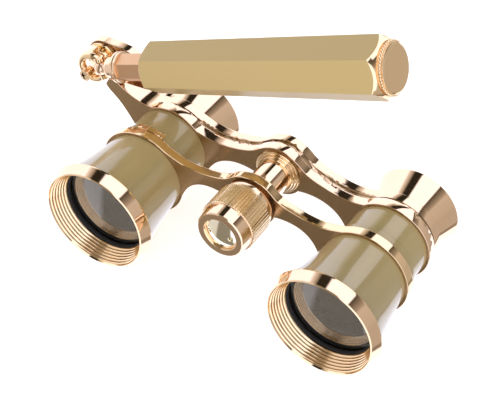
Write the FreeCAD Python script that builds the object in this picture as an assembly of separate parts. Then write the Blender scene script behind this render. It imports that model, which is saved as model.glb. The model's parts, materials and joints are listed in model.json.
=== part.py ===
import FreeCAD, Part
import math
import os

# Opera glasses with a hinged, telescopic side handle. Millimetres.
# Working frame: X from the left to the right barrel, Y along the optical axes from
# the objectives towards the eyes, Z up. Y = 0 is the front rim of the bezels and
# Z = 0 the height of the optical axes. The finished set is moved at the end so that
# the origin is the bottom centre of its bounding box.

V = FreeCAD.Vector

# ---- optical layout -------------------------------------------------------
SEPARATION = 65.0           # between the two optical axes
FOCUS_Z = 6.9               # focus axis above the optical axes
FIT = 0.05                  # radial clearance of a running fit

# ---- objective end --------------------------------------------------------
BEZEL_FRONT_R = 14.25
BEZEL_REAR_R = 15.25
BEZEL_BAND_Y = 3.1          # end of the polished outer band
BEZEL_REAR_Y = 3.7
BEZEL_SPIGOT_R = 13.0       # part screwed into the barrel
BEZEL_SPIGOT_Y = 6.6
THROAT_R = 12.2             # inner end of the ridged funnel
THROAT_Y = 5.4
BEZEL_LIP = 0.5             # plain lip round the funnel
FUNNEL_RIDGES = 6
RIDGE_HEIGHT = 0.2
RIDGE_SPANS = 6
LENS_R = 12.45              # 25 mm objective
LENS_Y = 6.9                # edge plane of the front surface
LENS_EDGE = 2.0
LENS_FRONT_CURVE = 34.0
RETAINER_BORE_R = 11.9

# ---- barrels --------------------------------------------------------------
BARREL_OUTLINE = [(14.35, 3.7), (13.3, 7.4), (12.6, 11.0), (11.95, 15.5), (11.5, 20.0),
                  (11.4, 21.7)]
BARREL_REAR_R = 11.4
BARREL_BORE_R = 11.0
BARREL_WAIST_Y = 14.0       # end of the taper behind the lens
LENS_SEAT_R = 11.6
FRONT_BRIDGE_Y = 21.7
FRONT_BRIDGE_T = 2.6
FRONT_RING_R = 12.3
COLLAR_R = 11.25
COLLAR_FRONT_Y = 22.3
COLLAR_REAR_Y = 27.0
STOP_WIDTH = 1.5            # small bar on the left barrel
STOP_HEIGHT = 1.25
STOP_ANGLES = (72.0, 103.0)
SLIDE_R = 10.5              # sliding barrel
SLIDE_BORE_R = 9.1
SLIDE_FRONT_Y = 15.0

# ---- rear bridge ----------------------------------------------------------
REAR_BRIDGE_Y = 34.8
REAR_PLATE_T = 2.7
GROOVE_T = 1.2
REAR_BRIDGE_END_Y = 41.4
REAR_RING_R = 11.35
REAR_RING_BACK_R = 10.7
REAR_RING_BORE_R = 9.8
HUB_R = 7.2
GROOVE_DEPTH = 0.7

# ---- eyepieces ------------------------------------------------------------
CUP_NECK_R = 9.4
CUP_CLEARANCE = 0.7         # between the left neck and the shoulder of the hinge arm
CUP_SPIGOT_Y = 38.0         # part screwed into the sliding barrel
CUP_SPIGOT_BORE_R = 6.4
CUP_RIM_R = 11.7
CUP_RIM_Y = 49.8
EYE_LENS_R = 7.0
EYE_LENS_Y = 41.0
EYE_LENS_EDGE = 2.4

# ---- focusing -------------------------------------------------------------
WHEEL_FACE_Y = 7.5
WHEEL_FACE_R = 6.55
WHEEL_FLUTE_Y = 11.0
WHEEL_R = 7.45
WHEEL_FLUTE_END_Y = 18.6
WHEEL_REAR_Y = 20.9
FLUTES = 60
FLUTE_R = 0.2
CAP_DISC_R = 4.6
FOCUS_TUBE_R = 4.5
FOCUS_TUBE_BORE_R = 3.6
FOCUS_TUBE_FRONT_Y = 16.0
FOCUS_TUBE_END_Y = 39.5
BUSH_R = 5.3
BUSH_FLANGE_R = 6.0
SPINDLE_R = 2.0
SPINDLE_END_Y = 33.0
STUD_R = 1.2                # spindle stud through the wheel's front web
WEB_Y = 9.0                 # front web of the wheel
WEB_T = 1.2
CAP_DISC_Y = 8.3            # edge of the domed cap disc
CAP_DOME_Y = 7.2
CAP_SPANS = 10
HOLE_R = 0.5                # two spanner holes in the cap disc
HOLE_OFFSET = 3.0
BUSH_FLANGE_Y = 18.2
BUSH_FLANGE_T = 1.0
BUSH_END_LIP = 0.9          # bush and boss stand this proud of the front bridge
RETAINER_R = 6.4            # ring that keeps the wheel on the bush flange
WHEEL_BORE_R = 5.0
WHEEL_BORE_Y = 17.8
CAP_SEAT = 0.7              # hub cap wider than the focus tube
GLAND_STEPS = 3             # rounded steps round the tube in front of the rear bridge
GLAND_STEP_Y = 0.6
GLAND_STEP_R = 0.55
GLAND_R = 5.05
NUT_Y = (17.5, 22.5)        # focus nut in the tube

# ---- handle hinge ---------------------------------------------------------
HINGE = V(-57.8, 35.6, 14.0)
SWIVEL_ANGLE = 22.5         # elevation of the handle above X
FOLD_ANGLE = 3.0            # handle set back towards the eye side
LOOP_R = 3.5                # loop of the yoke round the swivel axis, open towards the handle
LOOP_WIRE_R = 1.05
LOOP_OUTER_R = LOOP_R + LOOP_WIRE_R
PIN_X = 3.2                 # fold pin from the swivel axis, across the loop's ends
PIN_HALF = 3.0
PIN_BOSS_R = 1.3
SLOT_HALF = 1.9             # half the room for the knuckle along the fold pin
SLOT_X = 0.3
WEB_X = 1.2
WEB_Z = 2.3
SCREW_ANGLE = math.radians(216)
SCREW_AT_R = 3.0            # friction screw from the swivel axis
SCREW_BOSS_R = 1.6
SCREW_HEAD_T = 0.7
SCREW_R = 0.8
SCREW_RECESS_R = 1.25
SCREW_RECESS = 0.15
SCREW_SLOT = (2.2, 0.4, 0.3)
FOOT_R = 3.6
FOOT_Y = 2.8
FOOT_T = 1.3
KNUCKLE_R = 2.1             # ball with a flat on each side
KNUCKLE_HALF = 1.8
TONGUE_R = 1.7
FOLD_PIN_R = 0.8
POST_R = 1.9
POST_END = 1.4              # post stands this proud of the lug
WASHER_R = 4.6
WASHER_Y = (39.75, 40.2)
SPRING_WASHER_R = 4.1
SPRING_WASHER_Y = 40.25
NUT_R = 3.3
NUT_T = 1.3
LUG_R = 5.0
LUG_FRONT_Y = 40.8
LUG_REAR_Y = 43.4

# ---- handle: distances from the swivel axis along the handle -----------------
NECK_START = 5.6
NECK_END = 8.6
COLLAR_RIM_R = 4.2          # collar between the neck and the inner tube
COLLAR_END = 10.6
INNER_HEX_R = 3.8           # corner radius
INNER_BORE_R = 2.5
INNER_TURN = 18             # degrees the hexagons are turned about the handle
INNER_END = 72.0
SLEEVE_START = 20.2
SLEEVE_END = 90.0
SLEEVE_TURN = 16
SLEEVE_START_R = 6.95       # corner radius at the hinge end
SLEEVE_END_R = 8.3
CHAMFER_R = 6.6             # inner end of the 45 degree chamfer
SLEEVE_BORE_R = 4.6
MOUTH_BORE_R = INNER_HEX_R + FIT
FERRULE_START = 86.0
FERRULE_R = 6.1
FERRULE_END = 90.35
BEAD_R = 6.75
BEAD_END = 91.3
BEADS = 48
END_CAP_R = 6.2
END_CAP_END = 91.9

HALF = SEPARATION / 2
THROUGH = 60.0              # any length that passes right through the set
FRONT_BRIDGE_END_Y = FRONT_BRIDGE_Y + FRONT_BRIDGE_T
AXIS_X = V(1, 0, 0)
AXIS_Y = V(0, 1, 0)
AXIS_Z = V(0, 0, 1)


# ---- shape helpers --------------------------------------------------------
def turned(profile, x=0.0, z=0.0):
    """Solid turned about the line through (x, z) parallel to Y; profile is (r, y)."""
    points = [V(r, y, 0) for r, y in profile]
    face = Part.Face(Part.makePolygon(points + [points[0]]))
    solid = face.revolve(V(0, 0, 0), AXIS_Y, 360)
    solid.translate(V(x, 0, z))
    return solid


def ring(r_in, r_out, y0, y1, x=0.0, z=0.0):
    return turned([(r_in, y0), (r_out, y0), (r_out, y1), (r_in, y1)], x, z)


def rod(r, y0, y1, x=0.0, z=0.0):
    return Part.makeCylinder(r, y1 - y0, V(x, y0, z), AXIS_Y)


def fuse(shapes):
    return shapes[0].fuse(shapes[1:]).removeSplitter()


def spline(points):
    curve = Part.BSplineCurve()
    curve.interpolate(points)
    return curve.toShape()


def sag(curve, r):
    return abs(curve) - math.sqrt(curve * curve - r * r)


def lens(radius, y0, y1, front, rear, x):
    """Glass disc between the edge planes y0 and y1; positive curves bulge outwards."""
    def surface(y, curve, outward):
        steps = [radius * i / 8 for i in range(9)]
        bulge = [sag(curve, radius) - sag(curve, q) for q in steps]
        side = outward * math.copysign(1, curve)
        return [V(q, y + side * b, 0) for q, b in zip(steps, bulge)]
    a = surface(y0, front, -1)
    b = surface(y1, rear, 1)
    edges = [spline(a), Part.makeLine(a[-1], b[-1]), spline(b), Part.makeLine(b[0], a[0])]
    face = Part.Face(Part.Wire(Part.__sortEdges__(edges)))
    solid = face.revolve(V(0, 0, 0), AXIS_Y, 360)
    solid.translate(V(x, 0, 0))
    return solid


def curved_slab(tops, bottoms, y0, y1):
    """Smooth upper and lower edges, both listed in the same direction, joined at the ends."""
    top = [V(px, y0, pz) for px, pz in tops]
    low = [V(px, y0, pz) for px, pz in bottoms]
    edges = [spline(top), Part.makeLine(top[0], low[0]), spline(low),
             Part.makeLine(top[-1], low[-1])]
    face = Part.Face(Part.Wire(Part.__sortEdges__(edges)))
    return face.extrude(V(0, y1 - y0, 0))


parts = {}

# ---- bridges --------------------------------------------------------------
FRONT_TOPS = [(2.0, 13.8), (4.6, 12.9), (7.4, 10.7), (11.5, 9.2), (16.0, 8.6), (20.5, 8.7),
              (25.5, 10.2), (30.0, 11.4)]
FRONT_BOTTOMS = [(2.0, 2.0), (6.0, 4.6), (10.5, 5.4), (15.0, 4.6), (18.6, 1.6), (20.6, -2.6),
                 (22.8, -6.4)]
REAR_TOPS = [(2.0, 13.6), (4.6, 12.6), (7.6, 10.3), (11.5, 8.6), (16.0, 7.6), (20.5, 7.4),
             (25.5, 8.5), (30.0, 10.2)]
REAR_BOTTOMS = [(2.0, 1.4), (6.0, 3.0), (10.5, 3.6), (15.0, 2.7), (18.6, 0.2), (21.1, -3.6),
                (23.2, -6.6)]


def plate(y0, y1, ring_r, hub_r, tops, bottoms, lift=0.0):
    """One bridge plate: two barrel rings and a raised hub joined by wavy webs."""
    solids = [rod(hub_r, y0, y1, 0, FOCUS_Z)]
    for side in (-1, 1):
        upper = [(side * px, pz - lift) for px, pz in tops]
        lower = [(side * px, pz + lift) for px, pz in bottoms]
        solids.append(rod(ring_r, y0, y1, side * HALF, 0))
        solids.append(curved_slab(upper, lower, y0, y1))
    return fuse(solids)


bridge = plate(FRONT_BRIDGE_Y, FRONT_BRIDGE_END_Y, FRONT_RING_R, HUB_R, FRONT_TOPS,
               FRONT_BOTTOMS)
bridge = bridge.fuse(rod(HUB_R - 0.9, FRONT_BRIDGE_END_Y - 0.5,
                         FRONT_BRIDGE_END_Y + BUSH_END_LIP, 0, FOCUS_Z))
bridge = bridge.cut(rod(BUSH_R, 0, THROUGH, 0, FOCUS_Z))
for side in (-1, 1):
    bridge = bridge.cut(rod(BARREL_REAR_R, 0, THROUGH, side * HALF, 0))
parts["front_bridge"] = bridge.removeSplitter()

groove_y0 = REAR_BRIDGE_Y + REAR_PLATE_T
groove_y1 = groove_y0 + GROOVE_T
rear = fuse([
    plate(REAR_BRIDGE_Y, groove_y0, REAR_RING_R, HUB_R, REAR_TOPS, REAR_BOTTOMS),
    plate(groove_y0, groove_y1, REAR_RING_BACK_R - 0.35, HUB_R - GROOVE_DEPTH, REAR_TOPS,
          REAR_BOTTOMS, GROOVE_DEPTH),
    plate(groove_y1, REAR_BRIDGE_END_Y, REAR_RING_BACK_R, HUB_R, REAR_TOPS, REAR_BOTTOMS)])

# Short front layer of the hinge arm, ending beside the yoke.
ARM_TOPS = [(-33.0, 10.6), (-37.5, 9.9), (-41.0, 9.6), (-45.0, 10.6), (-48.3, 12.2),
            (-50.6, 13.2), (-52.4, 12.9)]
ARM_BOTTOMS = [(-36.0, -7.0), (-40.7, -4.4), (-44.0, 0.8), (-46.9, 4.8), (-49.8, 7.8),
               (-52.2, 9.7), (-53.3, 11.0)]
arm = curved_slab(ARM_TOPS, ARM_BOTTOMS, REAR_BRIDGE_Y, LUG_FRONT_Y)
# Tall rear layer carrying the lug behind the yoke.
SHOULDER_TOPS = [(-34.0, 9.0), (-38.5, 8.9), (-42.0, 10.2), (-44.6, 13.2), (-46.8, 17.2),
                 (-50.0, 19.0), (-54.0, 19.2), (-57.8, 19.0)]
SHOULDER_BOTTOMS = [(-36.0, -7.0), (-41.0, -4.0), (-44.6, 0.2), (-48.5, 4.2), (-52.5, 7.6),
                    (-57.8, 9.0)]
shoulder = curved_slab(SHOULDER_TOPS, SHOULDER_BOTTOMS, LUG_FRONT_Y, LUG_REAR_Y)
lug = rod(LUG_R, LUG_FRONT_Y, LUG_REAR_Y, HINGE.x, HINGE.z)
left_rest = rod(CUP_NECK_R + CUP_CLEARANCE, REAR_BRIDGE_END_Y, THROUGH, -HALF, 0)
rear = rear.fuse([arm, shoulder.cut(left_rest), lug])
rear = rear.cut(rod(POST_R + FIT, 0, THROUGH, HINGE.x, HINGE.z))
rear = rear.cut(rod(FOCUS_TUBE_R, 0, FOCUS_TUBE_END_Y, 0, FOCUS_Z))
rear = rear.cut(rod(FOCUS_TUBE_R + CAP_SEAT, FOCUS_TUBE_END_Y, THROUGH, 0, FOCUS_Z))
for side in (-1, 1):
    rear = rear.cut(rod(REAR_RING_BORE_R, 0, THROUGH, side * HALF, 0))
    rear = rear.cut(rod(SLIDE_R, 0, REAR_BRIDGE_Y + 0.8, side * HALF, 0))
parts["rear_bridge"] = rear.removeSplitter()


# ---- barrels and glass, made once for each side ---------------------------
def bezel(x):
    funnel_r = BEZEL_FRONT_R - BEZEL_LIP
    step = V(funnel_r - THROAT_R, BEZEL_LIP - THROAT_Y, 0) / FUNNEL_RIDGES
    inward = V(step.y, -step.x, 0).normalize()
    profile = [(funnel_r + 0.2, 0.0), (BEZEL_FRONT_R, 0.25), (BEZEL_REAR_R, BEZEL_BAND_Y),
               (BEZEL_REAR_R - 0.35, BEZEL_BAND_Y + 0.15), (BEZEL_REAR_R - 0.3, BEZEL_REAR_Y),
               (BEZEL_SPIGOT_R, BEZEL_REAR_Y), (BEZEL_SPIGOT_R, BEZEL_SPIGOT_Y),
               (THROAT_R + 0.35, BEZEL_SPIGOT_Y), (THROAT_R + 0.35, THROAT_Y + 0.1),
               (THROAT_R, THROAT_Y)]
    for i in range(1, FUNNEL_RIDGES * RIDGE_SPANS + 1):
        share = (i % RIDGE_SPANS) / RIDGE_SPANS
        rise = 4 * RIDGE_HEIGHT * share * (1 - share)
        point = V(THROAT_R, THROAT_Y, 0) + step * (i / RIDGE_SPANS) + inward * rise
        profile.append((point.x, point.y))
    return turned(profile, x)


def barrel(x):
    seat_y = LENS_Y + LENS_EDGE
    inside = [(BARREL_REAR_R, FRONT_BRIDGE_END_Y), (BARREL_BORE_R, FRONT_BRIDGE_END_Y),
              (BARREL_BORE_R, BARREL_WAIST_Y), (LENS_SEAT_R, seat_y + 0.5), (LENS_SEAT_R, seat_y),
              (LENS_R, seat_y),
              (LENS_R, BEZEL_SPIGOT_Y), (BEZEL_SPIGOT_R, BEZEL_SPIGOT_Y),
              (BEZEL_SPIGOT_R, BEZEL_REAR_Y)]
    return turned(BARREL_OUTLINE + inside, x)


def slide_collar(x):
    return turned([(SLIDE_R + FIT, COLLAR_FRONT_Y), (BARREL_BORE_R, COLLAR_FRONT_Y),
                   (BARREL_BORE_R, FRONT_BRIDGE_END_Y), (COLLAR_R, FRONT_BRIDGE_END_Y),
                   (COLLAR_R, COLLAR_REAR_Y - 0.3), (COLLAR_R - 0.3, COLLAR_REAR_Y),
                   (SLIDE_R + FIT, COLLAR_REAR_Y)], x)


def sliding_barrel(x):
    return turned([(SLIDE_BORE_R, SLIDE_FRONT_Y), (SLIDE_R, SLIDE_FRONT_Y),
                   (SLIDE_R, REAR_BRIDGE_Y + 0.8), (REAR_RING_BORE_R, REAR_BRIDGE_Y + 0.8),
                   (REAR_RING_BORE_R, REAR_BRIDGE_END_Y), (SLIDE_BORE_R, REAR_BRIDGE_END_Y)], x)


def eyecup(x):
    return turned([(CUP_SPIGOT_BORE_R, CUP_SPIGOT_Y), (SLIDE_BORE_R, CUP_SPIGOT_Y),
                   (SLIDE_BORE_R, REAR_BRIDGE_END_Y),
                   (CUP_NECK_R, REAR_BRIDGE_END_Y), (CUP_NECK_R + 0.1, REAR_BRIDGE_END_Y + 0.8),
                   (CUP_RIM_R - 0.1, CUP_RIM_Y - 0.8), (CUP_RIM_R, CUP_RIM_Y - 0.35),
                   (CUP_RIM_R - 0.2, CUP_RIM_Y), (CUP_RIM_R - 0.9, CUP_RIM_Y),
                   (CUP_RIM_R - 1.2, CUP_RIM_Y - 0.5), (7.9, 45.4), (EYE_LENS_R, 45.0),
                   (EYE_LENS_R, EYE_LENS_Y), (CUP_SPIGOT_BORE_R, EYE_LENS_Y)], x)


for name, side in (("left", -1), ("right", 1)):
    x = side * HALF
    parts["bezel_" + name] = bezel(x)
    parts["barrel_" + name] = barrel(x)
    parts["slide_collar_" + name] = slide_collar(x)
    parts["objective_lens_" + name] = lens(LENS_R, LENS_Y, LENS_Y + LENS_EDGE,
                                           LENS_FRONT_CURVE, -300.0, x)
    parts["objective_retainer_" + name] = turned(
        [(RETAINER_BORE_R, THROAT_Y + 0.15), (THROAT_R + 0.35, THROAT_Y + 0.15),
         (THROAT_R + 0.35, LENS_Y - 0.3), (RETAINER_BORE_R, LENS_Y - 0.5)], x)
    parts["sliding_barrel_" + name] = sliding_barrel(x)
    parts["eyecup_" + name] = eyecup(x)
    parts["eye_lens_" + name] = lens(EYE_LENS_R, EYE_LENS_Y, EYE_LENS_Y + EYE_LENS_EDGE,
                                     -40.0, -30.0, x)
    lens_back_y = EYE_LENS_Y + EYE_LENS_EDGE
    parts["eye_retainer_" + name] = ring(EYE_LENS_R - 0.8, EYE_LENS_R, lens_back_y, 44.9, x)

# Small bar with rounded ends lying on top of the left barrel behind the front bridge.
bar_y = FRONT_BRIDGE_END_Y + STOP_WIDTH / 2
stop = ring(COLLAR_R, COLLAR_R + STOP_HEIGHT, FRONT_BRIDGE_END_Y,
            FRONT_BRIDGE_END_Y + STOP_WIDTH, -HALF, 0)
corners = [V(-HALF, 0, 0)]
for angle in STOP_ANGLES:
    a = math.radians(angle)
    corners.append(V(-HALF + 20 * math.cos(a), 0, 20 * math.sin(a)))
wedge = Part.Face(Part.makePolygon(corners + [corners[0]])).extrude(V(0, THROUGH, 0))
stop = stop.common(wedge)
for angle in STOP_ANGLES:
    a = math.radians(angle)
    knob = Part.makeCylinder(STOP_WIDTH / 2, STOP_HEIGHT, V(-HALF + COLLAR_R * math.cos(a), bar_y,
                                           COLLAR_R * math.sin(a)),
                             V(math.cos(a), 0, math.sin(a)))
    stop = stop.fuse(knob.cut(rod(COLLAR_R, 0, THROUGH, -HALF, 0)))
parts["barrel_stop"] = stop.removeSplitter()

# ---- focusing drive -------------------------------------------------------
wheel = turned([(CAP_DISC_R, WHEEL_FACE_Y), (WHEEL_FACE_R - 0.3, WHEEL_FACE_Y),
                (WHEEL_FACE_R, WHEEL_FACE_Y + 0.3), (WHEEL_R - 0.45, WHEEL_FLUTE_Y - 0.3),
                (WHEEL_R - 0.45, WHEEL_FLUTE_Y), (WHEEL_R - 0.1, WHEEL_FLUTE_Y),
                (WHEEL_R, WHEEL_FLUTE_Y + 0.2), (WHEEL_R, WHEEL_FLUTE_END_Y),
                (WHEEL_R - 0.35, WHEEL_FLUTE_END_Y + 0.2), (WHEEL_R - 0.35, 19.6),
                (6.75, WHEEL_REAR_Y), (RETAINER_R, WHEEL_REAR_Y), (RETAINER_R, WHEEL_BORE_Y),
                (WHEEL_BORE_R, WHEEL_BORE_Y), (WHEEL_BORE_R, WEB_Y + WEB_T),
                (STUD_R, WEB_Y + WEB_T), (STUD_R, WEB_Y), (CAP_DISC_R, WEB_Y)], 0, FOCUS_Z)
flute = rod(FLUTE_R, WHEEL_FLUTE_Y - 0.05, WHEEL_FLUTE_END_Y + 0.1, WHEEL_R + 0.02, FOCUS_Z)
cutters = []
for i in range(FLUTES):
    one = flute.copy()
    one.rotate(V(0, 0, FOCUS_Z), AXIS_Y, 360.0 * (i + 0.5) / FLUTES)
    cutters.append(one)
parts["focus_wheel"] = wheel.cut(Part.makeCompound(cutters))

dome = []
for i in range(CAP_SPANS + 1):
    r = CAP_DISC_R * i / CAP_SPANS
    dome.append((r, CAP_DOME_Y + (CAP_DISC_Y - CAP_DOME_Y) * (r / CAP_DISC_R) ** 2))
disc = turned(dome + [(CAP_DISC_R, WEB_Y), (0, WEB_Y)], 0, FOCUS_Z)
for side in (-1, 1):
    disc = disc.cut(rod(HOLE_R, 0, WEB_Y - 0.2, side * HOLE_OFFSET, FOCUS_Z))
parts["wheel_cap"] = disc
parts["focus_spindle"] = rod(STUD_R, WEB_Y, WEB_Y + WEB_T, 0, FOCUS_Z).fuse(
    rod(SPINDLE_R, WEB_Y + WEB_T, SPINDLE_END_Y, 0, FOCUS_Z)).removeSplitter()
flange_end_y = BUSH_FLANGE_Y + BUSH_FLANGE_T
bush_end_y = FRONT_BRIDGE_END_Y + BUSH_END_LIP
parts["wheel_retainer"] = ring(BUSH_R + FIT, RETAINER_R, flange_end_y + 0.2, WHEEL_REAR_Y,
                               0, FOCUS_Z)
parts["wheel_bush"] = turned([(FOCUS_TUBE_R + FIT, BUSH_FLANGE_Y),
                              (BUSH_FLANGE_R, BUSH_FLANGE_Y), (BUSH_FLANGE_R, flange_end_y),
                              (BUSH_R, flange_end_y), (BUSH_R, bush_end_y),
                              (FOCUS_TUBE_R + FIT, bush_end_y)], 0, FOCUS_Z)
parts["focus_tube"] = ring(FOCUS_TUBE_BORE_R, FOCUS_TUBE_R, FOCUS_TUBE_FRONT_Y,
                           FOCUS_TUBE_END_Y, 0, FOCUS_Z)
parts["focus_nut"] = ring(SPINDLE_R + FIT, FOCUS_TUBE_BORE_R, NUT_Y[0], NUT_Y[1], 0,
                          FOCUS_Z)
gland = [(FOCUS_TUBE_R, REAR_BRIDGE_Y - GLAND_STEPS * GLAND_STEP_Y)]
for i in range(GLAND_STEPS):
    r = GLAND_R + i * GLAND_STEP_R
    y = REAR_BRIDGE_Y - (GLAND_STEPS - i) * GLAND_STEP_Y
    gland += [(r, y), (r + 0.15, y + GLAND_STEP_Y / 2), (r, y + GLAND_STEP_Y)]
gland.append((FOCUS_TUBE_R, REAR_BRIDGE_Y))
parts["tube_gland"] = turned(gland, 0, FOCUS_Z)
cap_r = FOCUS_TUBE_R + CAP_SEAT
parts["hub_cap"] = turned([(0, FOCUS_TUBE_END_Y), (cap_r, FOCUS_TUBE_END_Y), (cap_r, 41.6),
                           (cap_r - 0.5, 42.0), (0, 42.3)], 0, FOCUS_Z)

# ---- hinge and handle, drawn along +X from the swivel axis, then placed ------
# Local frame: X along the handle, Y as the optical axis, Z along the fold pin.
place_swivel = FreeCAD.Placement(HINGE, FreeCAD.Rotation(AXIS_Y, -SWIVEL_ANGLE))
PIN_AT = V(PIN_X, 0, 0)
fold = FreeCAD.Placement(PIN_AT, FreeCAD.Rotation(AXIS_Z, FOLD_ANGLE))
from_pin = FreeCAD.Placement(V(-PIN_X, 0, 0), FreeCAD.Rotation())
place_handle = place_swivel.multiply(fold).multiply(from_pin)


def put(shape, placement):
    moved = shape.copy()
    moved.Placement = placement.multiply(moved.Placement)
    return moved


# Yoke: an open loop with the fold pin across its ends, a web at its top and a foot with
# the swivel post.
loop = Part.makeTorus(LOOP_R, LOOP_WIRE_R, V(0, 0, 0), AXIS_Y)
pin_bosses = Part.makeCylinder(PIN_BOSS_R, 2 * PIN_HALF, PIN_AT - AXIS_Z * PIN_HALF, AXIS_Z)
screw_at = V(math.cos(SCREW_ANGLE), 0, math.sin(SCREW_ANGLE)) * SCREW_AT_R
screw_boss = Part.makeCylinder(SCREW_BOSS_R, 2 * LOOP_WIRE_R, screw_at - AXIS_Y * LOOP_WIRE_R,
                               AXIS_Y)
web = Part.makeCylinder(LOOP_OUTER_R, FOOT_Y + FOOT_T / 2, V(0, 0, 0), AXIS_Y)
web = web.cut(Part.makeCylinder(LOOP_R - LOOP_WIRE_R, THROUGH, V(0, -1, 0), AXIS_Y))
web = web.common(Part.makeBox(LOOP_OUTER_R, THROUGH, LOOP_OUTER_R,
                              V(WEB_X - LOOP_OUTER_R, 0, WEB_Z)))
foot = Part.makeCylinder(FOOT_R, FOOT_T, V(0, FOOT_Y, 0), AXIS_Y)
post_length = LUG_REAR_Y + POST_END - HINGE.y - FOOT_Y
post = Part.makeCylinder(POST_R, post_length, V(0, FOOT_Y, 0), AXIS_Y)
yoke = loop.fuse([pin_bosses, screw_boss, web, foot, post]).removeSplitter()
slot = Part.makeBox(2 * LOOP_OUTER_R, 2 * LOOP_R, 2 * SLOT_HALF, V(SLOT_X, -LOOP_R, -SLOT_HALF))
slot = slot.cut(Part.makeBox(THROUGH, THROUGH, THROUGH, V(0, FOOT_Y - FIT, -THROUGH / 2)))
pin = Part.makeCylinder(FOLD_PIN_R, 2 * PIN_HALF, PIN_AT - AXIS_Z * PIN_HALF, AXIS_Z)
screw_hole = Part.makeCylinder(SCREW_R, 2 * LOOP_WIRE_R, screw_at - AXIS_Y * LOOP_WIRE_R, AXIS_Y)
parts["yoke"] = put(yoke.cut(slot).cut(pin).cut(screw_hole), place_swivel)
parts["fold_pin"] = put(pin, place_swivel)

head_at = screw_at - AXIS_Y * (LOOP_WIRE_R + SCREW_HEAD_T)
screw = Part.makeCylinder(SCREW_BOSS_R, SCREW_HEAD_T, head_at, AXIS_Y)
screw = screw.fuse(Part.makeCylinder(SCREW_R, SCREW_HEAD_T + 2 * LOOP_WIRE_R, head_at, AXIS_Y))
screw = screw.cut(Part.makeCylinder(SCREW_RECESS_R, SCREW_RECESS, head_at, AXIS_Y))
screw = screw.cut(Part.makeBox(*SCREW_SLOT, head_at - V(SCREW_SLOT[0], 0, SCREW_SLOT[2]) / 2))
parts["friction_screw"] = put(screw.removeSplitter(), place_swivel)

parts["swivel_washer"] = ring(POST_R, WASHER_R, WASHER_Y[0], WASHER_Y[1], HINGE.x, HINGE.z)
parts["spring_washer"] = ring(POST_R, SPRING_WASHER_R, SPRING_WASHER_Y, LUG_FRONT_Y - FIT,
                              HINGE.x, HINGE.z)
nut_y = LUG_REAR_Y + FIT
parts["swivel_nut"] = turned([(POST_R, nut_y), (NUT_R, nut_y), (NUT_R, nut_y + NUT_T - 0.3),
                              (NUT_R - 0.4, nut_y + NUT_T), (POST_R, nut_y + NUT_T)],
                             HINGE.x, HINGE.z)


def along(profile):
    """Solid turned about the handle axis; profile is (distance, radius)."""
    points = [V(s, r, 0) for s, r in profile]
    face = Part.Face(Part.makePolygon(points + [points[0]]))
    return face.revolve(V(0, 0, 0), V(1, 0, 0), 360)


def hexagon(s, corner_r, turn):
    corners = []
    for i in range(6):
        a = math.radians(turn + 60 * i)
        corners.append(V(s, corner_r * math.cos(a), corner_r * math.sin(a)))
    return Part.makePolygon(corners + [corners[0]])


ball = Part.makeSphere(KNUCKLE_R, PIN_AT)
ball = ball.common(Part.makeCylinder(KNUCKLE_R, 2 * KNUCKLE_HALF, PIN_AT - AXIS_Z * KNUCKLE_HALF,
                                     AXIS_Z))
tongue = Part.makeCylinder(TONGUE_R, NECK_END - PIN_X, PIN_AT, AXIS_X)
neck_round = along([(NECK_START, 0), (NECK_START, 2.5), (NECK_START + 0.6, 2.9),
                    (NECK_END, 3.0), (NECK_END, 0)])
knuckle = ball.fuse([tongue, neck_round]).removeSplitter()
knuckle = knuckle.cut(Part.makeCylinder(FOLD_PIN_R + FIT, 2 * KNUCKLE_HALF,
                                        PIN_AT - AXIS_Z * KNUCKLE_HALF, AXIS_Z))
parts["knuckle"] = put(knuckle, place_handle)
parts["handle_collar"] = put(along([(NECK_END, 0), (NECK_END, COLLAR_RIM_R - 0.5),
                                    (NECK_END + 0.4, COLLAR_RIM_R),
                                    (NECK_END + 1.0, COLLAR_RIM_R),
                                    (NECK_END + 1.2, COLLAR_RIM_R - 0.4),
                                    (NECK_END + 1.4, COLLAR_RIM_R - 0.1),
                                    (COLLAR_END, COLLAR_RIM_R - 0.1), (COLLAR_END, 0)]),
                             place_handle)
hex_face = Part.Face(hexagon(COLLAR_END, INNER_HEX_R, INNER_TURN))
hex_rod = hex_face.extrude(V(INNER_END - COLLAR_END, 0, 0))
hex_bore = Part.makeCylinder(INNER_BORE_R, INNER_END, V(COLLAR_END + 3, 0, 0), V(1, 0, 0))
parts["inner_tube"] = put(hex_rod.cut(hex_bore), place_handle)
# Split spring plug in the end of the inner tube, rubbing on the sleeve bore.
plug = along([(INNER_END, 0), (INNER_END, 4.2), (INNER_END + 0.5, SLEEVE_BORE_R - FIT),
              (INNER_END + 3.0, SLEEVE_BORE_R - FIT), (INNER_END + 3.5, 4.2),
              (INNER_END + 3.5, 0)])
plug = plug.fuse(Part.makeCylinder(INNER_BORE_R, 4.0, V(INNER_END - 4.0, 0, 0), V(1, 0, 0)))
plug = plug.cut(Part.makeBox(3.6, 12, 0.6, V(INNER_END + 0.6, -6, -0.3))).removeSplitter()
parts["friction_plug"] = put(plug, place_handle)

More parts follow.
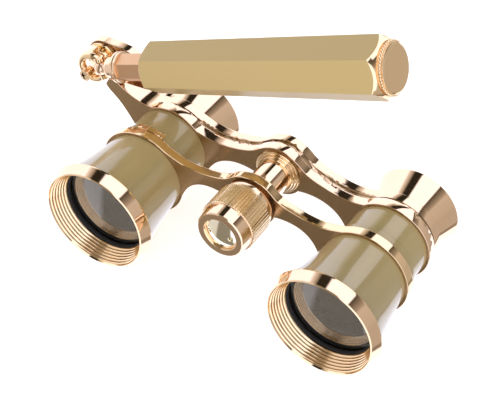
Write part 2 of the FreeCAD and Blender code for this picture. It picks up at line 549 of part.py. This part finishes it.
body = Part.makeLoft([hexagon(SLEEVE_START, SLEEVE_START_R, SLEEVE_TURN),
                      hexagon(SLEEVE_END, SLEEVE_END_R, SLEEVE_TURN)], True, True)
trim_r = SLEEVE_END_R + 0.7
trim = along([(SLEEVE_START, 0), (SLEEVE_START, 5.6), (SLEEVE_START + 1.6, trim_r),
              (SLEEVE_END - (trim_r - CHAMFER_R), trim_r), (SLEEVE_END, CHAMFER_R),
              (SLEEVE_END, 0)])
bore = Part.makeCylinder(SLEEVE_BORE_R, SLEEVE_END, V(SLEEVE_START, 0, 0), V(1, 0, 0))
body = body.common(trim).cut(bore)
parts["sleeve"] = put(body, place_handle)
mouth = along([(SLEEVE_START - 0.8, MOUTH_BORE_R), (SLEEVE_START - 0.8, 5.0),
               (SLEEVE_START - 0.5, 5.3), (SLEEVE_START, 5.3), (SLEEVE_START, SLEEVE_BORE_R),
               (SLEEVE_START + 5, SLEEVE_BORE_R), (SLEEVE_START + 5, MOUTH_BORE_R)])
parts["sleeve_mouth"] = put(mouth, place_handle)
ferrule = along([(FERRULE_START, 0), (FERRULE_START, SLEEVE_BORE_R),
                 (SLEEVE_END, SLEEVE_BORE_R), (SLEEVE_END, FERRULE_R), (FERRULE_END, FERRULE_R),
                 (FERRULE_END, 0)])
parts["ferrule"] = put(ferrule, place_handle)
beads = along([(FERRULE_END, 0), (FERRULE_END, BEAD_R), (BEAD_END - 0.15, BEAD_R),
               (BEAD_END, BEAD_R - 0.15), (BEAD_END, 0)])
notch = Part.makeCylinder(0.2, 2.0, V(FERRULE_END - 0.5, BEAD_R + 0.05, 0), V(1, 0, 0))
notches = []
for i in range(BEADS):
    one = notch.copy()
    one.rotate(V(0, 0, 0), V(1, 0, 0), 360.0 * i / BEADS)
    notches.append(one)
parts["bead_ring"] = put(beads.cut(Part.makeCompound(notches)), place_handle)
parts["end_cap"] = put(along([(BEAD_END, 0), (BEAD_END, END_CAP_R), (BEAD_END + 0.2, END_CAP_R),
                              (BEAD_END + 0.45, END_CAP_R - 0.5), (END_CAP_END, 2.5),
                              (END_CAP_END, 0)]), place_handle)

# ---- place on the ground and write ----------------------------------------
box = FreeCAD.BoundBox()
for shape in parts.values():
    box.add(shape.BoundBox)
TO_ORIGIN = V(-(box.XMin + box.XMax) / 2, -(box.YMin + box.YMax) / 2, -box.ZMin)
os.makedirs("parts", exist_ok=True)
for name, shape in parts.items():
    shape.translate(TO_ORIGIN)
    shape.exportStep(os.path.join("parts", name + ".step"))
print(len(parts), "parts", TO_ORIGIN)
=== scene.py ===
import json
import math

import bmesh
import bpy
from mathutils import Matrix, Vector


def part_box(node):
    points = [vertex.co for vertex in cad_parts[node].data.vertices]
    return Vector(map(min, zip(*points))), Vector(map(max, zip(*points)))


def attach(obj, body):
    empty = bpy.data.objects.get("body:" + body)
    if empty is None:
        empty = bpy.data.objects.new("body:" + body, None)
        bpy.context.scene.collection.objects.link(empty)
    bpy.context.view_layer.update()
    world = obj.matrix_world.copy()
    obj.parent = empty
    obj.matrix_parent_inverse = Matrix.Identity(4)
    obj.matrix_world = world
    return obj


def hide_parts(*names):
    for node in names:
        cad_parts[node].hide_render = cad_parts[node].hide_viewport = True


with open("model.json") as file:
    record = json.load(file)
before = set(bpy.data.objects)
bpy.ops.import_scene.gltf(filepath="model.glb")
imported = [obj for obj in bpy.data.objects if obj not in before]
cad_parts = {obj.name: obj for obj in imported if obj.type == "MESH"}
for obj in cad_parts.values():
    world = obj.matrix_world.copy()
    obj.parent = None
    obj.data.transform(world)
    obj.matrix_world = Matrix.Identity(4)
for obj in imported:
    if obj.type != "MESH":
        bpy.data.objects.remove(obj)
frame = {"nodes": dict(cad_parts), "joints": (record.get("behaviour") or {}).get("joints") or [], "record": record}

# Opera glasses: champagne lacquered barrels with polished gold trim. Metres, in the frame's axes.
# Each visible piece is a finished mesh made from its CAD node: turned pieces are spun again
# from their own section with softened corners, most of the others get softened edges.
bpy.context.view_layer.update()
MM = 0.001
SIDES = ("left", "right")
nodes = frame["nodes"]
body_of = {n: b for b, ns in frame["record"]["behaviour"]["bodies"].items() for n in ns}
slot_of = {part["node"]: part["material_slot"] for part in frame["record"]["subparts"]}
joints = {joint["name"]: joint for joint in frame["joints"]}


# ---- places read from the frame -------------------------------------------
def middle(node):
    low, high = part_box(node)
    return (low + high) / 2


def axis_frame(origin, along, seam):
    """Local X runs along an axis of turning and local Y towards the seam of its pieces."""
    along = Vector(along).normalized()
    seam = Vector(seam).normalized()
    turn = Matrix((along, seam, along.cross(seam))).transposed().to_4x4()
    return Matrix.Translation(origin) @ turn


FRONT_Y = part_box("bezel_left")[0].y
BARREL_Z = middle("bezel_left").z
OPTICAL = {side: axis_frame((middle("bezel_" + side).x, FRONT_Y, BARREL_Z), (0, 1, 0), (1, 0, 0))
           for side in SIDES}
FOCUS = axis_frame((middle("focus_tube").x, FRONT_Y, middle("focus_tube").z), (0, 1, 0),
                   (1, 0, 0))
PIN = Vector(joints["handle_fold"]["pos_m"])
ALONG = Vector(joints["handle_extend"]["axis"]).normalized()
SIDEWAYS = Vector(joints["handle_fold"]["axis"]).cross(ALONG).normalized()
HANDLE = axis_frame(PIN, ALONG, SIDEWAYS)
HINGE = Vector(joints["handle_swivel"]["pos_m"])
SWIVEL = axis_frame((HINGE.x, FRONT_Y, HINGE.z), (0, 1, 0), (1, 0, 0))

# ---- camera ---------------------------------------------------------------
AZIMUTH = math.radians(30.463)
ELEVATION = math.radians(43.986)
ROLL = math.radians(2.163)
DISTANCE = 0.3653
LENS = 116.31               # mm, on a sensor of SENSOR
SENSOR = 36
SHIFT = -0.0031
TARGET = Vector((0.02057, FRONT_Y, 0.04603))

back = Vector((math.sin(AZIMUTH) * math.cos(ELEVATION), -math.cos(AZIMUTH) * math.cos(ELEVATION),
               math.sin(ELEVATION)))
level_right = Vector((math.cos(AZIMUTH), math.sin(AZIMUTH), 0))
level_up = back.cross(level_right)
right = level_right * math.cos(ROLL) + level_up * math.sin(ROLL)
up = back.cross(right)
camera_data = bpy.data.cameras.new("camera")
camera_data.sensor_width = SENSOR
camera_data.lens = LENS
camera_data.shift_x = SHIFT
camera_data.clip_start = 0.01
camera_data.clip_end = 10
camera = bpy.data.objects.new("camera", camera_data)
camera.matrix_world = Matrix.Translation(TARGET + back * DISTANCE) @ Matrix(
    (right, up, back)).transposed().to_4x4()
bpy.context.scene.collection.objects.link(camera)
bpy.context.scene.camera = camera
bpy.context.scene.view_settings.view_transform = "Standard"


# ---- materials ------------------------------------------------------------
MIX_FIRST, MIX_SECOND, MIX_RESULT = 6, 7, 2     # colour sockets of Blender's Mix node
NOISE_LOW, NOISE_HIGH = 0.3, 0.7                # usual reach of a noise texture


def shader(name, **values):
    """New material with a Principled shader; values go on its own sockets."""
    made = bpy.data.materials.new(name)
    made.use_nodes = True
    bsdf = made.node_tree.nodes["Principled BSDF"]
    for key, value in values.items():
        bsdf.inputs[key.replace("_", " ")].default_value = value
    return made


def add(made, kind, **values):
    """New node; a value is the node's own setting, or else goes on the socket of that name."""
    node = made.node_tree.nodes.new(kind)
    for key, value in values.items():
        if hasattr(node, key):
            setattr(node, key, value)
        else:
            node.inputs[key.replace("_", " ")].default_value = value
    return node


def link(made, a, out, b, into):
    made.node_tree.links.new(a.outputs[out], b.inputs[into])


def noise(made, scale, detail=3.0, stretch=(1, 1, 1)):
    """Noise texture in the object's own coordinates."""
    place = add(made, "ShaderNodeTexCoord")
    turn = add(made, "ShaderNodeMapping")
    turn.inputs["Scale"].default_value = stretch
    texture = add(made, "ShaderNodeTexNoise", Scale=scale, Detail=detail)
    link(made, place, "Object", turn, "Vector")
    link(made, turn, "Vector", texture, "Vector")
    return texture


def spread(made, texture, low, high, into):
    """Texture value mapped to low..high on a socket of the shader."""
    scaled = add(made, "ShaderNodeMapRange")
    scaled.inputs["From Min"].default_value = NOISE_LOW
    scaled.inputs["From Max"].default_value = NOISE_HIGH
    scaled.inputs["To Min"].default_value = low
    scaled.inputs["To Max"].default_value = high
    link(made, texture, "Fac", scaled, "Value")
    link(made, scaled, "Result", made.node_tree.nodes["Principled BSDF"], into)


def tint(made, texture, first, second):
    """Colour that wanders between two close shades."""
    mix = add(made, "ShaderNodeMix", data_type="RGBA")
    mix.inputs[MIX_FIRST].default_value = (*first, 1)
    mix.inputs[MIX_SECOND].default_value = (*second, 1)
    link(made, texture, "Fac", mix, "Factor")
    made.node_tree.links.new(mix.outputs[MIX_RESULT],
                             made.node_tree.nodes["Principled BSDF"].inputs["Base Color"])


def grain(made, texture, strength, distance):
    """Fine unevenness of the surface."""
    bump = add(made, "ShaderNodeBump", Strength=strength, Distance=distance)
    link(made, texture, "Fac", bump, "Height")
    link(made, bump, "Normal", made.node_tree.nodes["Principled BSDF"], "Normal")


def polished(name, first, second, rough=(0.03, 0.09)):
    """Bare polished metal; rough is its least and greatest roughness."""
    made = shader(name, Metallic=1.0)
    tint(made, noise(made, 90, 2), first, second)
    spread(made, noise(made, 700, 5), rough[0], rough[1], "Roughness")
    grain(made, noise(made, 2600, 2), 0.04, 0.00002)
    return made


def lacquer(name, first, second, metal, rough, coat, shine=0.5):
    """Clear coat over a fine metallic flake."""
    made = shader(name, Metallic=metal, Coat_Weight=coat, Coat_Roughness=0.03, Coat_IOR=1.7,
                  Specular_IOR_Level=shine)
    tint(made, noise(made, 4000, 2), first, second)
    spread(made, noise(made, 300, 4), rough - 0.02, rough + 0.02, "Roughness")
    grain(made, noise(made, 5000, 2), 0.03, 0.00001)
    return made


def matt_black():
    made = shader("matt black", Specular_IOR_Level=0.3)
    tint(made, noise(made, 900), (0.012, 0.011, 0.012), (0.03, 0.027, 0.026))
    spread(made, noise(made, 1200), 0.45, 0.7, "Roughness")
    return made


def glass():
    made = shader("coated glass", Transmission_Weight=1.0, IOR=1.52, Coat_Weight=1.0,
                  Coat_IOR=2.4, Coat_Roughness=0.02)
    tint(made, noise(made, 60), (0.26, 0.235, 0.205), (0.31, 0.285, 0.25))
    spread(made, noise(made, 500), 0.0, 0.015, "Roughness")
    return made


def turned_steel():
    made = shader("turned steel", Metallic=1.0)
    tint(made, noise(made, 500, 3, (1, 8, 1)), (0.30, 0.30, 0.31), (0.42, 0.42, 0.43))
    spread(made, noise(made, 900), 0.2, 0.35, "Roughness")
    return made


LACQUER = lacquer("champagne lacquer", (0.40, 0.305, 0.135), (0.44, 0.335, 0.15), 0.12, 0.32, 0.8)
MATT_LACQUER = lacquer("handle lacquer", (0.41, 0.30, 0.135), (0.45, 0.33, 0.15), 0.1, 0.4, 0.1,
                       shine=0.15)
SATIN = lacquer("satin champagne", (0.41, 0.275, 0.145), (0.45, 0.30, 0.16), 0.95, 0.22, 0.1)
SATIN_ROSE = lacquer("satin rose gold", (0.68, 0.43, 0.24), (0.72, 0.46, 0.27), 1.0, 0.42, 0.1)
ROSE = polished("rose gold", (0.93, 0.68, 0.47), (0.95, 0.72, 0.51))
PALE = polished("pale gold", (0.93, 0.70, 0.43), (0.95, 0.73, 0.47))
FLUTED = polished("fluted gold", (0.95, 0.75, 0.48), (0.97, 0.79, 0.53), (0.2, 0.28))
CREAM = polished("cream gold", (0.90, 0.85, 0.66), (0.93, 0.88, 0.70), (0.05, 0.12))
BLACK = matt_black()
GLASS = glass()
STEEL = turned_steel()
BY_SLOT = {"champagne_lacquer": LACQUER, "rose_gold": ROSE, "pale_gold": PALE,
           "black_lacquer": BLACK, "optical_glass": GLASS, "plain_steel": STEEL}

for node, slot in slot_of.items():
    mesh = nodes[node].data
    mesh.materials.clear()
    mesh.materials.append(BY_SLOT[slot])

# ---- finished meshes ------------------------------------------------------
WELD = 2e-6                 # vertices closer than this are one
STRAIGHT = math.radians(0.4)
FLAT = math.radians(0.03)   # faces within this angle are one plane
CORNER = math.radians(20)   # turns sharper than this are softened
SHARP = math.radians(40)
EDGE = math.radians(28)     # edges sharper than this are softened
ARC = 3                     # spans across a softened corner
STEPS = 160                 # spans round a turned piece


def finished(node, mesh, materials):
    """Piece that stands for a node: smooth shading, same body, the given materials."""
    data = bpy.data.meshes.new(node + "_finished")
    mesh.to_mesh(data)
    mesh.free()
    for material in materials:
        data.materials.append(material)
    data.polygons.foreach_set("use_smooth", [True] * len(data.polygons))
    data.set_sharp_from_angle(angle=SHARP)
    made = bpy.data.objects.new(data.name, data)
    bpy.context.scene.collection.objects.link(made)
    weighted = made.modifiers.new("weighted normals", "WEIGHTED_NORMAL")
    weighted.keep_sharp = True
    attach(made, body_of[node])
    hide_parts(node)
    return made


def welded(node):
    """The node's mesh with its doubled vertices joined."""
    mesh = bmesh.new()
    mesh.from_mesh(nodes[node].data)
    bmesh.ops.remove_doubles(mesh, verts=mesh.verts, dist=WELD)
    return mesh


def section(node, place, turn=0.0):
    """Outline of a turned node as points (along, radius), and whether it closes on itself.

    The half plane of the cut stands at the angle turn from local Y.
    """
    mesh = welded(node)
    mesh.transform(place.inverted())
    out = Vector((0, math.cos(turn), math.sin(turn)))
    across = Vector((0, -math.sin(turn), math.cos(turn)))
    everything = mesh.verts[:] + mesh.edges[:] + mesh.faces[:]
    bmesh.ops.bisect_plane(mesh, geom=everything, dist=WELD / 2, plane_co=(0, 0, 0),
                           plane_no=out, clear_inner=True)
    bmesh.ops.remove_doubles(mesh, verts=mesh.verts, dist=10 * WELD)
    everything = mesh.verts[:] + mesh.edges[:] + mesh.faces[:]
    cut = bmesh.ops.bisect_plane(mesh, geom=everything, dist=WELD / 2, plane_co=(0, 0, 0),
                                 plane_no=across)["geom_cut"]
    near = {}
    for edge in cut:
        if isinstance(edge, bmesh.types.BMEdge):
            a, b = edge.verts
            near.setdefault(a, []).append(b)
            near.setdefault(b, []).append(a)
    ends = [v for v in near if len(near[v]) == 1]
    loose = [v for v in ends if v.co.dot(out) > WELD]
    while len(loose) > 1:
        a = loose.pop()
        b = min(loose, key=lambda v: (v.co - a.co).length)
        loose.remove(b)
        near[a].append(b)
        near[b].append(a)
    ends = [v for v in near if len(near[v]) == 1]
    chain = [ends[0] if ends else next(iter(near))]
    while True:
        onward = [v for v in near[chain[-1]] if v not in chain]
        if not onward:
            break
        chain.append(onward[0])
    points = [Vector((v.co.x, max(v.co.dot(out), 0.0))) for v in chain]
    mesh.free()
    return without_straights(points, not ends), not ends


def without_straights(points, closed):
    """Outline without doubled points or points in a straight line."""
    apart = [p for i, p in enumerate(points) if (p - points[i - 1]).length > 2 * WELD]
    kept = []
    for i, p in enumerate(apart):
        end = not closed and i in (0, len(apart) - 1)
        if end or (p - apart[i - 1]).angle(apart[(i + 1) % len(apart)] - p) > STRAIGHT:
            kept.append(p)
    return kept


def softened(points, closed, soft):
    """Sharp corners become short curves of about the radius soft."""
    out = []
    for i, p in enumerate(points):
        a = points[i - 1] - p
        b = points[(i + 1) % len(points)] - p
        turn = math.pi - a.angle(b)
        if turn < CORNER or (not closed and i in (0, len(points) - 1)):
            out.append(p)
            continue
        reach = min(soft * math.tan(turn / 2), 0.4 * a.length, 0.4 * b.length)
        start = p + a.normalized() * reach
        end = p + b.normalized() * reach
        for k in range(ARC + 1):
            t = k / ARC
            out.append(start * (1 - t) ** 2 + p * 2 * t * (1 - t) + end * t * t)
    return out


def spun(points, closed, steps, ripple):
    """Mesh of an outline turned about local X; ripple(along, radius, angle) is the radius used."""
    mesh = bmesh.new()
    rings = []
    for along, radius in points:
        if radius < WELD:
            rings.append([mesh.verts.new((along, 0, 0))] * steps)
            continue
        ring = []
        for k in range(steps):
            angle = 2 * math.pi * k / steps
            r = ripple(along, radius, angle)
            ring.append(mesh.verts.new((along, r * math.cos(angle), r * math.sin(angle))))
        rings.append(ring)
    following = rings[1:] + rings[:1] if closed else rings[1:]
    for a, b in zip(rings, following):
        for k in range(steps):
            j = (k + 1) % steps
            corners = list(dict.fromkeys((a[k], a[j], b[j], b[k])))
            if len(corners) > 2:
                mesh.faces.new(corners)
    bmesh.ops.recalc_face_normals(mesh, faces=mesh.faces)
    return mesh


def same_radius(along, radius, angle):
    return radius


def first_material(along, radius, facing, outward):
    return 0


def turned(node, place, materials, choose=first_material, soft=0.08 * MM, steps=STEPS,
           ripple=same_radius, turn=0.0, extra=None):
    """Spun copy of a node; choose picks a material from a face's place and normal."""
    points, closed = section(node, place, turn)
    mesh = spun(softened(points, closed, soft), closed, steps, ripple)
    if extra:
        extra(mesh)
    for face in mesh.faces:
        centre = face.calc_center_median()
        radius = math.hypot(centre.y, centre.z)
        outward = (face.normal.y * centre.y + face.normal.z * centre.z) / max(radius, WELD)
        face.material_index = choose(centre.x, radius, face.normal.x, outward)
    mesh.transform(place)
    return finished(node, mesh, materials)


def everywhere(point):
    return True


def rounded(node, width, materials, choose=None, where=everywhere):
    """Copy of a node with its edges softened where they lie in the region where.

    choose picks a material from a face's normal and centre.
    """
    mesh = welded(node)
    free = [v for v in mesh.verts if where(v.co)]
    bmesh.ops.dissolve_limit(mesh, angle_limit=FLAT, verts=free,
                             edges=[e for e in mesh.edges if all(where(v.co) for v in e.verts)])
    hard = [e for e in mesh.edges if len(e.link_faces) == 2 and e.calc_face_angle() > EDGE
            and all(where(v.co) for v in e.verts)]
    bmesh.ops.bevel(mesh, geom=hard, offset=width, offset_type="OFFSET", segments=ARC,
                    profile=0.5, affect="EDGES", clamp_overlap=False)
    bmesh.ops.recalc_face_normals(mesh, faces=mesh.faces)
    if choose:
        for face in mesh.faces:
            face.material_index = choose(face.normal, face.calc_center_median())
    return finished(node, mesh, materials)


def inside_black(along, radius, facing, outward):
    """Second material on the faces that look at the axis."""
    return 1 if outward < -0.2 else 0


def black_rim(along, radius, facing, outward):
    """Second material on the cylindrical edge of a lens."""
    return 1 if outward > 0.8 else 0


# Bezels: rose band, pale lips and a ridged pale funnel. Other optics are turned beside them.
BAND_START = 0.3 * MM
BAND_END = 3.1 * MM


def bezel_finish(along, radius, facing, outward):
    return 0 if outward > 0.5 and BAND_START < along < BAND_END else 1


for side in SIDES:
    turned("bezel_" + side, OPTICAL[side], [ROSE, PALE], bezel_finish, 0.04 * MM)
    turned("barrel_" + side, OPTICAL[side], [LACQUER, BLACK], inside_black)
    turned("slide_collar_" + side, OPTICAL[side], [LACQUER, BLACK], inside_black)
    turned("sliding_barrel_" + side, OPTICAL[side], [LACQUER, BLACK], inside_black)
    turned("eyecup_" + side, OPTICAL[side], [ROSE, BLACK], inside_black, 0.12 * MM)
    turned("objective_lens_" + side, OPTICAL[side], [GLASS, BLACK], black_rim)
    turned("objective_retainer_" + side, OPTICAL[side], [BLACK])
    turned("eye_lens_" + side, OPTICAL[side], [GLASS, BLACK], black_rim)
    turned("eye_retainer_" + side, OPTICAL[side], [BLACK])

# Focusing wheel with scalloped flutes.
FLUTES = 60
FLUTE_DEPTH = 0.2 * MM
SPANS_PER_FLUTE = 8
FLUTE_SHAPE = (0.0, 0.0, 0.0, 0.7, 1.0, 0.7, 0.0, 0.0)
wheel_low, wheel_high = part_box("focus_wheel")
WHEEL_R = (wheel_high.x - wheel_low.x) / 2
RIDGE_R = WHEEL_R - 0.2 * MM        # only what stands higher than this is fluted


def flutes(along, radius, angle):
    """Radius of the wheel at an angle, with the hollow of a flute taken off."""
    if radius < RIDGE_R:
        return radius
    step = round(angle / (2 * math.pi) * FLUTES * SPANS_PER_FLUTE)
    return radius - FLUTE_DEPTH * FLUTE_SHAPE[step % SPANS_PER_FLUTE]


def wheel_finish(along, radius, facing, outward):
    return 1 if radius > RIDGE_R - FLUTE_DEPTH and abs(facing) < 0.5 else 0


turned("focus_wheel", FOCUS, [ROSE, FLUTED], wheel_finish, steps=FLUTES * SPANS_PER_FLUTE,
       ripple=flutes)
rounded("wheel_cap", 0.12 * MM, [CREAM])
for node in ("focus_tube", "wheel_bush", "wheel_retainer", "tube_gland", "hub_cap"):
    turned(node, FOCUS, [BY_SLOT[slot_of[node]]], steps=128)


# Bridges: satin faces, polished edges. The groove in the rear one keeps its sharp edges.
def bridge_finish(normal, centre):
    return 0 if abs(normal.y) > 0.95 else 1


rounded("front_bridge", 0.2 * MM, [SATIN, PALE], bridge_finish)
GROOVE_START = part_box("rear_bridge")[0].y + 2.7 * MM
GROOVE_END = GROOVE_START + 1.2 * MM


def outside_groove(point):
    return not GROOVE_START - WELD < point.y < GROOVE_END + WELD


rounded("rear_bridge", 0.2 * MM, [SATIN, ROSE], bridge_finish, outside_groove)
rounded("barrel_stop", 0.05 * MM, [PALE])

# Hinge and handle. The round yoke and knuckle are shown as they are.
for node in ("fold_pin", "friction_screw"):
    rounded(node, 0.1 * MM, [BY_SLOT[slot_of[node]]])
for node in ("yoke", "knuckle"):
    finished(node, welded(node), [BY_SLOT[slot_of[node]]])
for node in ("swivel_washer", "spring_washer", "swivel_nut"):
    turned(node, SWIVEL, [BY_SLOT[slot_of[node]]], steps=96)
for node in ("handle_collar", "sleeve_mouth", "ferrule"):
    turned(node, HANDLE, [BY_SLOT[slot_of[node]]], steps=128)
turned("end_cap", HANDLE, [PALE], steps=128)
rounded("inner_tube", 0.15 * MM, [SATIN_ROSE])


def sleeve_finish(normal, centre):
    return 1 if abs(normal.dot(ALONG)) > 0.4 else 0


rounded("sleeve", 0.04 * MM, [MATT_LACQUER, PALE], sleeve_finish)

# Row of beads round the handle's end.
BEADS = 48
bead_points, _ = section("bead_ring", HANDLE, math.pi / BEADS)
BEAD_LOW = min(p.x for p in bead_points)
BEAD_HIGH = max(p.x for p in bead_points)
RING_R = max(p.y for p in bead_points)
BEAD_SIZE = math.pi * RING_R / BEADS * 0.96


BEAD_CENTRE_R = RING_R - BEAD_SIZE


def slimmer(along, radius, angle):
    return min(radius, BEAD_CENTRE_R)


def beads(mesh):
    for k in range(BEADS):
        angle = 2 * math.pi * k / BEADS
        place = Matrix.Translation(((BEAD_LOW + BEAD_HIGH) / 2, BEAD_CENTRE_R * math.cos(angle),
                                    BEAD_CENTRE_R * math.sin(angle)))
        bmesh.ops.create_icosphere(mesh, subdivisions=3, radius=BEAD_SIZE, matrix=place)


turned("bead_ring", HANDLE, [PALE], turn=math.pi / BEADS, ripple=slimmer, extra=beads)

# ---- studio ---------------------------------------------------------------
# Brightness by the angle round the Y axis, in turns: 0 is +X, 0.25 straight up, 0.5 is -X.
# White cloths left, above and below, with black gaps between them and a dim right wall.
STRIPS = [(0.000, 0.58), (0.090, 0.64), (0.105, 0.40), (0.150, 0.07), (0.156, 1.55),
          (0.275, 1.55), (0.285, 0.03), (0.328, 0.03), (0.342, 0.45), (0.362, 0.90),
          (0.372, 1.45), (0.500, 1.40), (0.860, 1.45), (0.866, 0.30), (0.885, 0.30),
          (0.892, 0.55)]
# In front of the set, brightness from far left to far right: half the X of the direction + 0.5.
FRONT = [(0.00, 0.90), (0.25, 0.80), (0.28, 0.30), (0.53, 0.30), (0.56, 1.55), (1.00, 1.55)]
FRONT_STARTS = -0.32        # Y of the direction where the front wall begins
FRONT_FULL = -0.40
DIM_TINT = (1.0, 0.82, 0.58)    # dim walls are warm and the white cloths a little cool
BRIGHT_TINT = (0.98, 0.98, 1.12)
WHITE_FROM = 1.4            # brightness at which a cloth is fully white
LIGHT_BEHIND = 0.15         # what matt surfaces receive from behind and from in front
LIGHT_AHEAD = 1.75


def studio():
    """World that shows the cloths to mirrors and an even soft light to matt surfaces."""
    world = bpy.data.worlds.new("studio")
    bpy.context.scene.world = world
    world.use_nodes = True
    world.cycles.sampling_method = "NONE"
    tree = world.node_tree
    links = tree.links
    direction = tree.nodes.new("ShaderNodeTexCoord")
    ray = tree.nodes.new("ShaderNodeLightPath")
    axes = tree.nodes.new("ShaderNodeSeparateXYZ")
    links.new(direction.outputs["Generated"], axes.inputs[0])

    def maths(operation, a, b=None, c=None):
        node = tree.nodes.new("ShaderNodeMath")
        node.operation = operation
        for socket, value in zip(node.inputs, (a, b, c)):
            if isinstance(value, float):
                socket.default_value = value
            elif value is not None:
                links.new(value, socket)
        return node.outputs[0]

    def mapped(value, low, high, to_low, to_high):
        node = tree.nodes.new("ShaderNodeMapRange")
        node.interpolation_type = "SMOOTHSTEP"
        for key, number in zip(("From Min", "From Max", "To Min", "To Max"),
                               (low, high, to_low, to_high)):
            node.inputs[key].default_value = number
        links.new(value, node.inputs["Value"])
        return node.outputs[0]

    def light(stops, value):
        """Background whose strength follows the stops."""
        brightest = max(level for _, level in stops)
        ramp = tree.nodes.new("ShaderNodeValToRGB")
        elements = ramp.color_ramp.elements
        elements.remove(elements[-1])
        for i, (place, level) in enumerate(stops):
            stop = elements[0] if i == 0 else elements.new(place)
            stop.position = place
            share = min(level / WHITE_FROM, 1.0)
            stop.color = [level / brightest * (dim + (bright - dim) * share)
                          for dim, bright in zip(DIM_TINT, BRIGHT_TINT)] + [1]
        links.new(value, ramp.inputs["Fac"])
        background = tree.nodes.new("ShaderNodeBackground")
        background.inputs["Strength"].default_value = brightest
        links.new(ramp.outputs["Color"], background.inputs["Color"])
        return background.outputs[0]

    def mixed(factor, a, b):
        node = tree.nodes.new("ShaderNodeMixShader")
        links.new(factor, node.inputs[0])
        links.new(a, node.inputs[1])
        links.new(b, node.inputs[2])
        return node.outputs[0]

    turns = maths("DIVIDE", maths("ARCTAN2", axes.outputs["Z"], axes.outputs["X"]), 2 * math.pi)
    cloths = light(STRIPS, maths("FLOORED_MODULO", turns, 1.0))
    wall = light(FRONT, maths("MULTIPLY_ADD", axes.outputs["X"], 0.5, 0.5))
    wall_share = mapped(axes.outputs["Y"], FRONT_FULL, FRONT_STARTS, 1.0, 0.0)
    soft = tree.nodes.new("ShaderNodeBackground")
    links.new(mapped(axes.outputs["Y"], -1.0, 1.0, LIGHT_AHEAD, LIGHT_BEHIND),
              soft.inputs["Strength"])
    soft.inputs["Color"].default_value = (1, 1, 1, 1)
    seen = mixed(wall_share, cloths, wall)
    links.new(mixed(ray.outputs["Is Diffuse Ray"], seen, soft.outputs[0]),
              tree.nodes["World Output"].inputs[0])


studio()

floor_mesh = bpy.data.meshes.new("floor")
FLOOR = 3.0
floor_mesh.from_pydata([(-FLOOR, -FLOOR, 0), (FLOOR, -FLOOR, 0), (FLOOR, FLOOR, 0),
                        (-FLOOR, FLOOR, 0)], [], [(0, 1, 2, 3)])
floor = bpy.data.objects.new("floor", floor_mesh)
bpy.context.scene.collection.objects.link(floor)
paper = shader("white paper", Emission_Strength=0.6, Emission_Color=(1, 1, 1, 1))
tint(paper, noise(paper, 30), (0.80, 0.80, 0.80), (0.82, 0.82, 0.82))
spread(paper, noise(paper, 400), 0.6, 0.7, "Roughness")
floor_mesh.materials.append(paper)
floor.visible_glossy = False
floor.visible_diffuse = False
